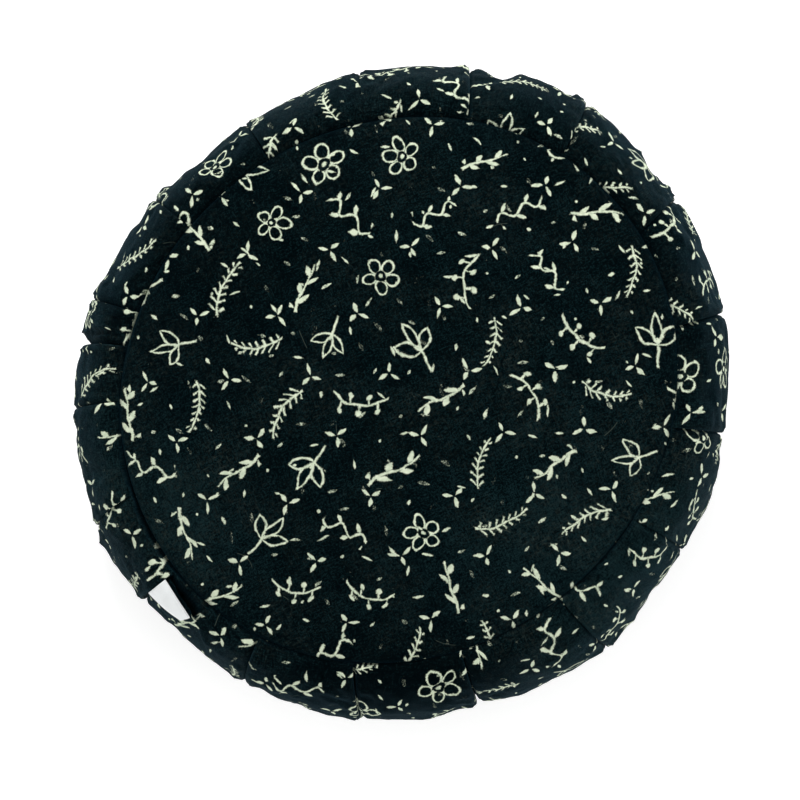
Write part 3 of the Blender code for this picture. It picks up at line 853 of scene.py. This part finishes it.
def make_label(strip):
    """The ribbon: its lower half, its turned end and its upper half, with a little curl."""
    half_gap = 0.5 * RIBBON_LAYERS_APART
    flat = np.linspace(0.0, 1.0, LABEL_ROWS)
    facing = np.radians(np.concatenate((
        np.full(LABEL_ROWS, -90.0),
        np.linspace(-LABEL_TURN_DEG, LABEL_TURN_DEG, LABEL_TURN_ROWS),
        np.full(LABEL_ROWS, 90.0))))
    lean, stand = np.cos(facing), np.sin(facing)
    along = np.concatenate((flat, np.ones(LABEL_TURN_ROWS), flat[::-1]))
    along = along + half_gap * lean / LABEL_LENGTH
    across = np.linspace(0.0, 1.0, LABEL_COLUMNS)
    factors = label_lift(strip)
    shells = []
    for side in (0.5, -0.5):
        u = (along + side * RIBBON * lean / LABEL_LENGTH)[:, None] + 0.0 * across
        v = across[None, :] + 0.0 * u
        points, outward = label_base(u, v)
        curl = u ** 3 * (1.0 - CURL_FALL * v) - HOLLOW * hump(v - 0.5, HOLLOW_WIDTH) * u
        ripple = np.sin(RIPPLE_ALONG * u + RIPPLE_ACROSS * v) * (v - 0.5)
        height = bent_plane(u, v) @ factors + RIBBON_LIFT + 0.5 * RIBBON + half_gap \
            + RIBBON_CURL * curl + LABEL_RIPPLE * ripple \
            + ((half_gap + side * RIBBON) * stand)[:, None]
        shells.append(points + outward * height[..., None])
    number = np.arange(2 * u.size).reshape(2, *u.shape)
    edges = (number[:, :, 0], number[:, :, -1], number[:, 0], number[:, -1])
    faces = np.concatenate([sheet_faces(grid) for grid in (*number, *(edge.T for edge in edges))])
    run = np.abs(np.diff(along)) * LABEL_LENGTH + half_gap * np.abs(np.diff(stand))
    run = np.concatenate(((0.0,), np.cumsum(run)))
    cloth = np.stack((run[:, None] + 0.0 * u, across * LABEL_WIDTH + 0.0 * u), axis=-1)
    cloth = np.concatenate((cloth.reshape(-1, 2),) * 2)
    return mesh_from("ribbon_label", np.concatenate(shells).reshape(-1, 3), faces,
                     by_corner(cloth, faces))


# ======== materials
def set_inputs(node, inputs):
    """Set a node's inputs, by name or number, to values, or join them to fields and sockets."""
    for name, value in inputs.items():
        source = value.socket if isinstance(value, Field) else value
        if isinstance(source, bpy.types.NodeSocket):
            node.id_data.links.new(source, node.inputs[name])
        else:
            node.inputs[name].default_value = source


def new_node(tree, kind, inputs, **settings):
    """A node with its settings, and its inputs set or joined."""
    node = tree.nodes.new(kind)
    for name, value in settings.items():
        setattr(node, name, value)
    set_inputs(node, inputs)
    return node


def math_field(tree, operation, *values, clamp=False):
    """The result of a math node over numbers and fields."""
    node = new_node(tree, "ShaderNodeMath", dict(enumerate(values)), operation=operation,
                    use_clamp=clamp)
    return Field(node.outputs[0])


class Field:
    """A number in a node tree, which Python's own arithmetic adds nodes to."""

    def __init__(self, socket):
        self.socket = socket

    def combined(self, operation, *others, **settings):
        return math_field(self.socket.id_data, operation, self, *others, **settings)

    def __rsub__(self, other):
        return math_field(self.socket.id_data, "SUBTRACT", other, self)

    def wrapped(self, low, high):
        return self.combined("WRAP", high, low)

    __add__ = __radd__ = partialmethod(combined, "ADD")
    __sub__ = partialmethod(combined, "SUBTRACT")
    __mul__ = __rmul__ = partialmethod(combined, "MULTIPLY")
    __truediv__ = partialmethod(combined, "DIVIDE")
    __abs__ = partialmethod(combined, "ABSOLUTE")
    less = partialmethod(combined, "MINIMUM")
    more = partialmethod(combined, "MAXIMUM")
    above = partialmethod(combined, "GREATER_THAN")
    floor = partialmethod(combined, "FLOOR")
    root = partialmethod(combined, "SQRT")
    sine = partialmethod(combined, "SINE")
    cosine = partialmethod(combined, "COSINE")
    turn_from = partialmethod(combined, "ARCTAN2")
    to_and_fro = partialmethod(combined, "PINGPONG")
    clamped = partialmethod(combined, "ADD", 0.0, clamp=True)


def far(x, y):
    """Distance from the middle."""
    return (x * x + y * y).root()


def choose(share, first, second):
    """first where share is 0, second where it is 1."""
    return first + share * (second - first)


def spun(field, times):
    """A random number from 0 to 1 made into another."""
    return (field * times).wrapped(0.0, 1.0)


def parts_of(vector, kind="ShaderNodeSeparateXYZ"):
    """The three parts of a vector or of a colour, as fields."""
    return [Field(part) for part in new_node(vector.id_data, kind, {0: vector}).outputs]


def joined(tree, *parts):
    """A vector of three numbers or fields."""
    return new_node(tree, "ShaderNodeCombineXYZ", dict(enumerate(parts))).outputs[0]


def noise(vector, scale, detail=2.0, roughness=0.5):
    """Smooth noise over a vector, from 0 to 1."""
    node = new_node(vector.id_data, "ShaderNodeTexNoise", {
        "Vector": vector, "Scale": scale, "Detail": detail, "Roughness": roughness})
    return Field(node.outputs["Fac"])


def point_value(tree, name):
    """A value that the mesh holds for its points, 0 where it has none."""
    return Field(new_node(tree, "ShaderNodeAttribute", {}, attribute_name=name).outputs["Fac"])


def mixed(tree, share, first, second):
    """A colour between two others."""
    node = new_node(tree, "ShaderNodeMix", {"Factor": share, "A": first, "B": second},
                    data_type="RGBA")
    return node.outputs["Result"]


def lattice(tree, x, y, wide, tall, seed, jitter):
    """A half-drop lattice: place in the cell about its middle, and three random numbers for it."""
    column = (x / wide).floor()
    y = y + column.wrapped(0.0, 2.0) * (0.5 * tall)
    row = (y / tall).floor()
    chance = new_node(tree, "ShaderNodeTexWhiteNoise", {"Vector": joined(tree, column, row, seed)},
                      noise_dimensions="3D")
    first, second, third = parts_of(chance.outputs["Color"], "ShaderNodeSeparateColor")
    here_x = x - (column + 0.5) * wide + (second - 0.5) * jitter
    here_y = y - (row + 0.5) * tall + (third - 0.5) * jitter
    return here_x, here_y, first, second, third


def turned(x, y, angle):
    """A point turned by an angle in radians, which may be a field."""
    if isinstance(angle, Field):
        cosine, sine = angle.cosine(), angle.sine()
    else:
        cosine, sine = math.cos(angle), math.sin(angle)
    return x * cosine + y * sine, y * cosine - x * sine


def sector(x, y, count, start=0.0):
    """A point brought into the first of some equal sectors, and its distance from the middle."""
    half = math.pi / count
    turn = (y.turn_from(x) + start).wrapped(-half, half)
    out = far(x, y)
    return out * turn.cosine(), out * turn.sine(), out


def leaf(along, across, half_long, half_wide):
    """Below 0 inside a leaf about the middle."""
    tip = along / half_long
    return abs(across) - (1.0 - tip * tip) * half_wide


# Sizes of the print, in millimetres: cells of the large motifs, how far one strays in its cell,
# half its length, half the width of a drawn line, and the cells of the specks. The numbers in
# the motifs are sizes and places in millimetres too, along and across each, and turns in radians.
MOTIF_CELL = (39.0, 36.0)
MOTIF_SEED, DAB_SEED, SPECK_SEED, HAIR_SEED = 4.0, 9.0, 15.0, 23.0
MOTIF_STRAY = 6.0
MOTIF_HALF = 11.0
MOTIF_SIZE = (1.12, 0.30)
LINE_HALF = 0.46
DAB_STRAY = 3.0
SPECK_CELL = (15.0, 13.0)
SPECK_STRAY = 5.0
SPECK_SHARE = 0.45
PRINT_WAVER = ((0.075, 5.0), (0.068, 5.0))
BRUSH_SCALE = 0.35
BRUSH_ROUGHNESS = 0.9


def leafy_sprig(px, py):
    """A bent stem with leaves by turns on either side."""
    off_stem = py - (px * 0.16).sine() * 2.4
    stem = (abs(off_stem) - 0.50 + px * 0.016).more(abs(px) - MOTIF_HALF)
    spot = (px + off_stem.above(0.0) * 4.4).wrapped(-4.4, 4.4) + 3.4
    leaf_x, leaf_y = turned(spot, abs(off_stem), 0.62)
    return stem.less(leaf(leaf_x - 3.1, leaf_y, 2.8, 1.05).more(abs(px - 0.4) - 9.6))


def berry_twig(px, py):
    """An arched twig with round berries on short stalks."""
    arc = py - px * px * 0.034 + 1.6
    stalk_x = (px + arc.above(0.0) * 3.6).wrapped(-3.6, 3.6)
    stalk = (abs(stalk_x) - 0.36).more(abs(arc) - 2.8)
    berry = far(stalk_x, abs(arc) - 3.7) - 1.15
    fruit = stalk.less(berry).more(abs(px) - 9.2)
    return (abs(arc) - 0.48).more(abs(px) - MOTIF_HALF).less(fruit)


def fern(px, py):
    """A curved rib with fine slanted barbs, shorter towards the tip."""
    off_rib = py - px * px * 0.022 + 1.0
    rib = (abs(off_rib) - 0.42).more(abs(px) - MOTIF_HALF)
    barb_x, barb_y = turned(px.wrapped(-1.5, 1.5) + 1.0, abs(off_rib), 0.95)
    half_long = (4.3 - (px + MOTIF_HALF) * 0.15) * 0.5
    barbs = (abs(barb_y) - 0.34).more(abs(barb_x - 1.7) - half_long)
    return rib.less(barbs.more(abs(px - 0.5) - 10.0))


def vine(px, py):
    """A wavy tendril with a small leaf at each turn."""
    slope = (px * 0.62).cosine() * (0.62 * 1.9)
    off_line = (py - (px * 0.62).sine() * 1.9) / (slope * slope + 1.0).root()
    line = (abs(off_line) - LINE_HALF).more(abs(px) - MOTIF_HALF)
    crest = (px + py.above(0.0) * 5.07).wrapped(-5.07, 5.07)
    leaf_x, leaf_y = turned(crest + 2.0, abs(py) - 2.2, 0.7)
    return line.less(leaf(leaf_x - 1.9, leaf_y, 2.2, 0.9).more(abs(px) - 9.8))


def tulip(px, py):
    """Three broad leaves drawn in outline, on a short stem."""
    lean = abs(py)
    outer_x, outer_y = turned(px + 3.0, lean, 0.85)
    outer_leaf = leaf(outer_x - 5.4, outer_y, 5.2, 2.1)
    inner_leaf = leaf(px - 3.6, py, 6.2, 2.0)
    shoot = (abs(outer_leaf) - 0.42).less(abs(inner_leaf) - 0.42)
    return shoot.less((lean - LINE_HALF).more(abs(px + 5.6) - 5.4))


def blossom(px, py):
    """Five petals in outline about a dot."""
    petal_x, petal_y, out = sector(px, py, 5)
    petal = abs(far(petal_x - 5.2, petal_y * 1.25) - 3.1) - LINE_HALF
    return petal.more(2.6 - out).less(out - 0.95)


# Each motif with the share of the cells, of all, that it and those before it take
MOTIFS = ((leafy_sprig, 0.26), (berry_twig, 0.46), (fern, 0.64), (vine, 0.80), (tulip, 0.91),
          (blossom, 1.0))


def print_field(tree, cloth):
    """Below 0 under the ivory print: tossed plant motifs with dabs and specks between them."""
    scaled = new_node(tree, "ShaderNodeVectorMath", {0: cloth, "Scale": 1.0 / MM},
                      operation="SCALE").outputs[0]
    x, y = (part + (noise(scaled, scale, 1.0) - 0.5) * depth
            for part, (scale, depth) in zip(parts_of(scaled), PRINT_WAVER))
    brush = noise(scaled, BRUSH_SCALE)

    here_x, here_y, first, second, third = lattice(tree, x, y, *MOTIF_CELL, MOTIF_SEED, MOTIF_STRAY)
    px, py = turned(here_x, here_y, first * (2.0 * math.pi))
    flip = spun(first, 9.7).above(0.5) * 2.0 - 1.0
    size = spun(second, 5.3) * MOTIF_SIZE[1] + MOTIF_SIZE[0]
    px, py = px / size, py * flip / size
    pick = (second * 3.1 + third * 2.3).wrapped(0.0, 1.0)
    motif = MOTIFS[-1][0](px, py)
    for drawn, upto in reversed(MOTIFS[:-1]):
        motif = choose(pick.above(upto), drawn(px, py), motif)

    # Dabs of three strokes in the spaces between them
    here_x, here_y, first = lattice(tree, x + 0.5 * MOTIF_CELL[0], y + 0.25 * MOTIF_CELL[1],
                                    *MOTIF_CELL, DAB_SEED, DAB_STRAY)[:3]
    dab_x, dab_y, _ = sector(here_x, here_y, 3, first * (2.0 * math.pi))
    dab = leaf(dab_x - 3.6, dab_y, 2.8, 1.0)

    # Specks and short strokes, in some of their cells
    here_x, here_y, first, second, _ = lattice(tree, x, y, *SPECK_CELL, SPECK_SEED, SPECK_STRAY)
    speck_x, speck_y = turned(here_x, here_y, first * (2.0 * math.pi))
    speck = leaf(speck_x, speck_y, second * 2.4 + 0.7, 0.66).more(SPECK_SHARE - first)
    return motif.less(dab).less(speck) - (brush - 0.5) * BRUSH_ROUGHNESS, brush


# Colours of the cloth, in linear light: its threads, dark and light, its pale fibres, its print
THREAD_DARK = (0.0001, 0.0006, 0.0009, 1.0)
THREAD_LIGHT = (0.0075, 0.0205, 0.0225, 1.0)
FIBRE = (0.037, 0.048, 0.040, 1.0)
INK_THIN = (0.48, 0.56, 0.41, 1.0)
INK_FULL = (0.83, 0.88, 0.68, 1.0)
BLACK = (0.0, 0.0, 0.0, 1.0)
RIBBON_COLOUR = (0.97, 1.0, 1.0, 1.0)
# The noises of the cloth, as waves in a metre, detail and roughness. The other numbers in the
# materials are seeds, and the shares and gains by which their fields are mixed.
WANDER_NOISE = (240.0, 2.0, 0.5)
PATCH_NOISE = (24.0, 2.0, 0.6)
HAZE_NOISE = (420.0, 3.0, 0.7)
SPECKLE_NOISE = (1050.0, 2.0, 0.7)
CLOUD_NOISE = (70.0, 3.0, 0.5)
GRAIN_NOISE = (1300.0, 1.0, 0.5)
RIBBON_NOISE = (180.0, 3.0, 0.5)
SLUB_NOISE = (1.0, 3.0, 0.6)
SLUB_SCALES = ((160.0, 1100.0, 1.0), (1100.0, 160.0, 1.0))
THREAD_PITCH = 0.46 * MM
THREAD_DRIFT = 3.6 * MM
RIB_PITCH = 0.42 * MM
RIBBON_THREAD_PITCH = 0.30 * MM
RIBBON_EDGE = 1.1 * MM
HAIR_CELL = (64.0, 58.0)
HAIR_STRAY = 36.0
HAIR_HALF = 0.22
HAIR_SHARE = 0.45
SHEEN_TINT = (0.16, 0.66, 1.0, 1.0)
COTTON_GLOSS = {"Roughness": 0.93, "Specular IOR Level": 0.04, "Sheen Weight": 0.045,
                "Specular Tint": (0.20, 0.80, 1.0, 1.0), "Sheen Roughness": 0.45,
                "Sheen Tint": SHEEN_TINT}
RIBBON_GLOSS = {"Roughness": 0.50, "Specular IOR Level": 0.35, "Sheen Weight": 0.15,
                "Sheen Roughness": 0.40}


def beyond(field, start, gain):
    """How far a field is past a start, from 0 to 1, times a gain."""
    return ((field - start) * gain).clamped()


def threads_over(place, pitch):
    """A wave that passes 0 between each thread and the next."""
    return (place * (math.pi / pitch)).sine()


def slubs(cloth, scale, seed):
    """Noise drawn out along one set of threads."""
    place = new_node(cloth.id_data, "ShaderNodeMapping", {
        "Vector": cloth, "Scale": scale, "Location": (seed, seed * 0.7, 0.0)}).outputs[0]
    return noise(place, *SLUB_NOISE)


def thread_tone(tree, across, along, seed):
    """How light a thread is, from 0 to 1: its own tone, which drifts along it."""
    number = (across / THREAD_PITCH).floor()
    return noise(joined(tree, number * 1.37 + seed, along / THREAD_DRIFT), 1.0, 1.0)


def stray_hairs(tree, x, y):
    """1 on a few fine hairs that cling to the cloth, over a place in millimetres."""
    here_x, here_y, first, second, third = lattice(tree, x, y, *HAIR_CELL, HAIR_SEED, HAIR_STRAY)
    hair_x, hair_y = turned(here_x, here_y, first * (2.0 * math.pi))
    off_hair = abs(hair_y - hair_x * hair_x * ((second - 0.5) * 0.14))
    inside = ((third * 4.5 + 1.5 - abs(hair_x)) * 1.5).clamped()
    return ((HAIR_HALF - off_hair) * 8.0).clamped() * inside * second.above(HAIR_SHARE)


def new_material(name):
    """A material, its node tree, its shader and the places on the flat cloth."""
    material = bpy.data.materials.new(name)
    material.use_nodes = True
    tree = material.node_tree
    cloth = new_node(tree, "ShaderNodeUVMap", {}, uv_map="cloth").outputs["UV"]
    return material, tree, tree.nodes["Principled BSDF"], cloth


def finish_shader(shader, colour, gloss, height, strength, distance):
    """Give a shader its colour, its gloss, and a bump from a height."""
    bump = new_node(shader.id_data, "ShaderNodeBump", {
        "Height": height, "Strength": strength, "Distance": distance})
    set_inputs(shader, {"Base Color": colour, "Normal": bump.outputs["Normal"], **gloss})


def cloth_material():
    """Matt black plain-weave cotton with an ivory pigment print."""
    material, tree, shader, cloth = new_material("printed_cotton_cloth")
    across, along, _ = parts_of(cloth)

    # Plain weave: warp and weft threads by turns on top, each a little uneven
    uneven = (noise(cloth, *WANDER_NOISE) - 0.5) * (0.5 * THREAD_PITCH)
    across, along = across + uneven, along + uneven
    warp, weft = (threads_over(place, THREAD_PITCH) for place in (across, along))
    over = (warp * weft).above(0.0)
    weave = choose(over, abs(warp) * 0.9, abs(weft))
    tone = choose(over, thread_tone(tree, across, along, 3.0),
                  thread_tone(tree, along, across, 41.0))
    threads = abs(warp) * 0.5 + abs(weft) * 0.5

    # Pale fibres: slubs along either set of threads, a haze, both in patches, and stray hairs
    slub = slubs(cloth, SLUB_SCALES[0], 3.0).more(slubs(cloth, SLUB_SCALES[1], 8.0))
    patch = noise(cloth, *PATCH_NOISE)
    pale = beyond(slub, 0.58, 6.0) * beyond(patch, 0.40, 3.0)
    haze = beyond(noise(cloth, *HAZE_NOISE), 0.48, 3.4) * beyond(patch, 0.42, 4.0)
    hairs = stray_hairs(tree, across / MM, along / MM)
    dust = pale * 0.7 + haze * 0.42 + hairs * 1.6
    # Each point's share of lint and painted sheen, below 0 where painted shade lies
    lint = point_value(tree, "lint")

    # The black ground, uneven from thread to thread and over a few centimetres, lighter where lint
    # and painted sheen lie and darker under painted shade
    cloudy = (noise(cloth, *SPECKLE_NOISE) - 0.5) * 3.5 + (noise(cloth, *CLOUD_NOISE) - 0.5) * 0.9
    lightness = ((tone - 0.5) * 3.1 + cloudy + 0.05 + lint * 0.32).clamped()
    lightness = (lightness * (weave * 0.5 + 0.6)).clamped()
    ground = mixed(tree, lightness, THREAD_DARK, THREAD_LIGHT)
    # Pale fibres show more where lint and painted sheen lie, and less under painted shade
    ground = mixed(tree, (dust * (lint * 0.5 + 0.7)).clamped(), ground, FIBRE)

    # The print, thin where the brush was dry and between the threads, and none inside the slit
    edge, brush = print_field(tree, cloth)
    grain = (noise(cloth, *GRAIN_NOISE) - 0.5) * 0.9 + (threads - 0.6) * 0.45
    ink = ((edge + grain) * -3.8 + 0.5).clamped() * (1.0 - point_value(tree, "bare")).clamped()
    fullness = (brush * 1.5 - 0.4 + (threads - 0.6) * 0.5).clamped()
    colour = mixed(tree, ink, ground, mixed(tree, fullness, INK_THIN, INK_FULL))
    finish_shader(shader, colour, COTTON_GLOSS, weave + (slub - 0.5) * 0.8, 0.55, 0.16 * MM)
    return material


def ribbon_material():
    """White woven ribbon: fine ribs across it, closer threads along its edges."""
    material, tree, shader, cloth = new_material("white_ribbon")
    along, across, _ = parts_of(cloth)
    ribs = abs(threads_over(along, RIB_PITCH))
    threads = abs(threads_over(across, RIBBON_THREAD_PITCH))
    edge = (1.0 - across.to_and_fro(0.5 * LABEL_WIDTH) / RIBBON_EDGE).clamped()
    cloudy = (noise(cloth, *RIBBON_NOISE) - 0.5) * 0.16
    light = 0.83 + ribs * 0.10 + threads * 0.05 + cloudy - edge * 0.06
    finish_shader(shader, mixed(tree, light.clamped(), BLACK, RIBBON_COLOUR), RIBBON_GLOSS,
                  ribs + threads * 0.5 + edge * 0.8, 0.5, 0.10 * MM)
    return material


# ======== stage, light and camera
PHOTO_SIZE_PX = 800
OUTLINE_PX = 654.0
OUTLINE_WIDTH = 0.3601
OUTLINE_MIDDLE_PX = (401.0, 392.5)
CAMERA_DISTANCE = 1.55
CAMERA_ELEVATION_DEG = 88.0
CAMERA_AZIMUTH_DEG = -45.0
CAMERA_CLIP = 0.05
FOCAL_SHARE = 0.9907
SENSOR_MM = 36.0
WHITE = (1.0, 1.0, 1.0, 1.0)
FLOOR_HALF = 4.0
FLOOR_LOOKS = {"Base Color": (0.93, 0.93, 0.93, 1.0), "Roughness": 0.9, "Emission Color": WHITE,
               "Emission Strength": 0.45}
ROOM_STRENGTH = 0.78
LIGHT_COLUMNS = ("name", "place", "size", "power")
LIGHT_ROWS = (
    ("key", (-0.1, 1.6, 1.2), 0.7, 20.0),
    ("fill", (1.6, -0.75, 1.0), 0.8, 4.0),
)


def make_stage():
    corners = [(-1, -1), (1, -1), (1, 1), (-1, 1)]
    floor = mesh_from("floor", np.array([(x * FLOOR_HALF, y * FLOOR_HALF, -0.2 * MM)
                                         for x, y in corners]), [(0, 1, 2, 3)])
    material = bpy.data.materials.new("pale_floor")
    material.use_nodes = True
    set_inputs(material.node_tree.nodes["Principled BSDF"], FLOOR_LOOKS)
    floor.data.materials.append(material)


def make_light():
    world = bpy.data.worlds.new("soft_room")
    world.use_nodes = True
    set_inputs(world.node_tree.nodes["Background"], {"Color": WHITE, "Strength": ROOM_STRENGTH})
    bpy.context.scene.world = world
    for row in records(LIGHT_COLUMNS, LIGHT_ROWS):
        light = bpy.data.lights.new(row["name"], "AREA")
        light.shape = "DISK"
        light.size = row["size"]
        light.energy = row["power"]
        item = bpy.data.objects.new(row["name"], light)
        item.location = row["place"]
        item.rotation_euler = (-Vector(row["place"])).to_track_quat("-Z", "Y").to_euler()
        bpy.context.scene.collection.objects.link(item)
    bpy.context.scene.view_settings.view_transform = "Standard"


def make_camera():
    scale = OUTLINE_PX / OUTLINE_WIDTH * FOCAL_SHARE
    camera = bpy.data.objects.new("camera", bpy.data.cameras.new("camera"))
    bpy.context.scene.collection.objects.link(camera)
    camera.data.sensor_width = SENSOR_MM
    camera.data.lens = scale * CAMERA_DISTANCE * SENSOR_MM / PHOTO_SIZE_PX
    camera.data.clip_start = CAMERA_CLIP
    elevation = math.radians(CAMERA_ELEVATION_DEG)
    azimuth = math.radians(CAMERA_AZIMUTH_DEG)
    back = Vector((math.cos(elevation) * math.cos(azimuth), math.cos(elevation) * math.sin(azimuth),
                   math.sin(elevation)))
    up = (Vector((0.0, 1.0, 0.0)) - back * back.y).normalized()
    right = up.cross(back)
    half = 0.5 * PHOTO_SIZE_PX
    target = Vector((0.0, 0.0, WIDEST_HEIGHT))
    target -= right * ((OUTLINE_MIDDLE_PX[0] - half) / scale)
    target -= up * ((half - OUTLINE_MIDDLE_PX[1]) / scale)
    turn = Matrix((right, up, back)).transposed().to_4x4()
    camera.matrix_world = Matrix.Translation(target + back * CAMERA_DISTANCE) @ turn
    bpy.context.scene.camera = camera


# ======== the pieces
make_camera()
make_stage()
make_light()
COTTON = cloth_material()
RIBBON_WHITE = ribbon_material()

strip = make_side_strip()
top_sheet = make_panel("top_sheet", True)
base_sheet = make_panel("base_sheet", False)
for piece, node in ((strip, "side_gusset"), (top_sheet, "top_panel"), (base_sheet, "bottom_panel")):
    piece.data.materials.append(COTTON)
    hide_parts(node)
    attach(piece, "root")

label = make_label(strip)
label.data.materials.append(RIBBON_WHITE)
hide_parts("side_label")
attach(label, "root")
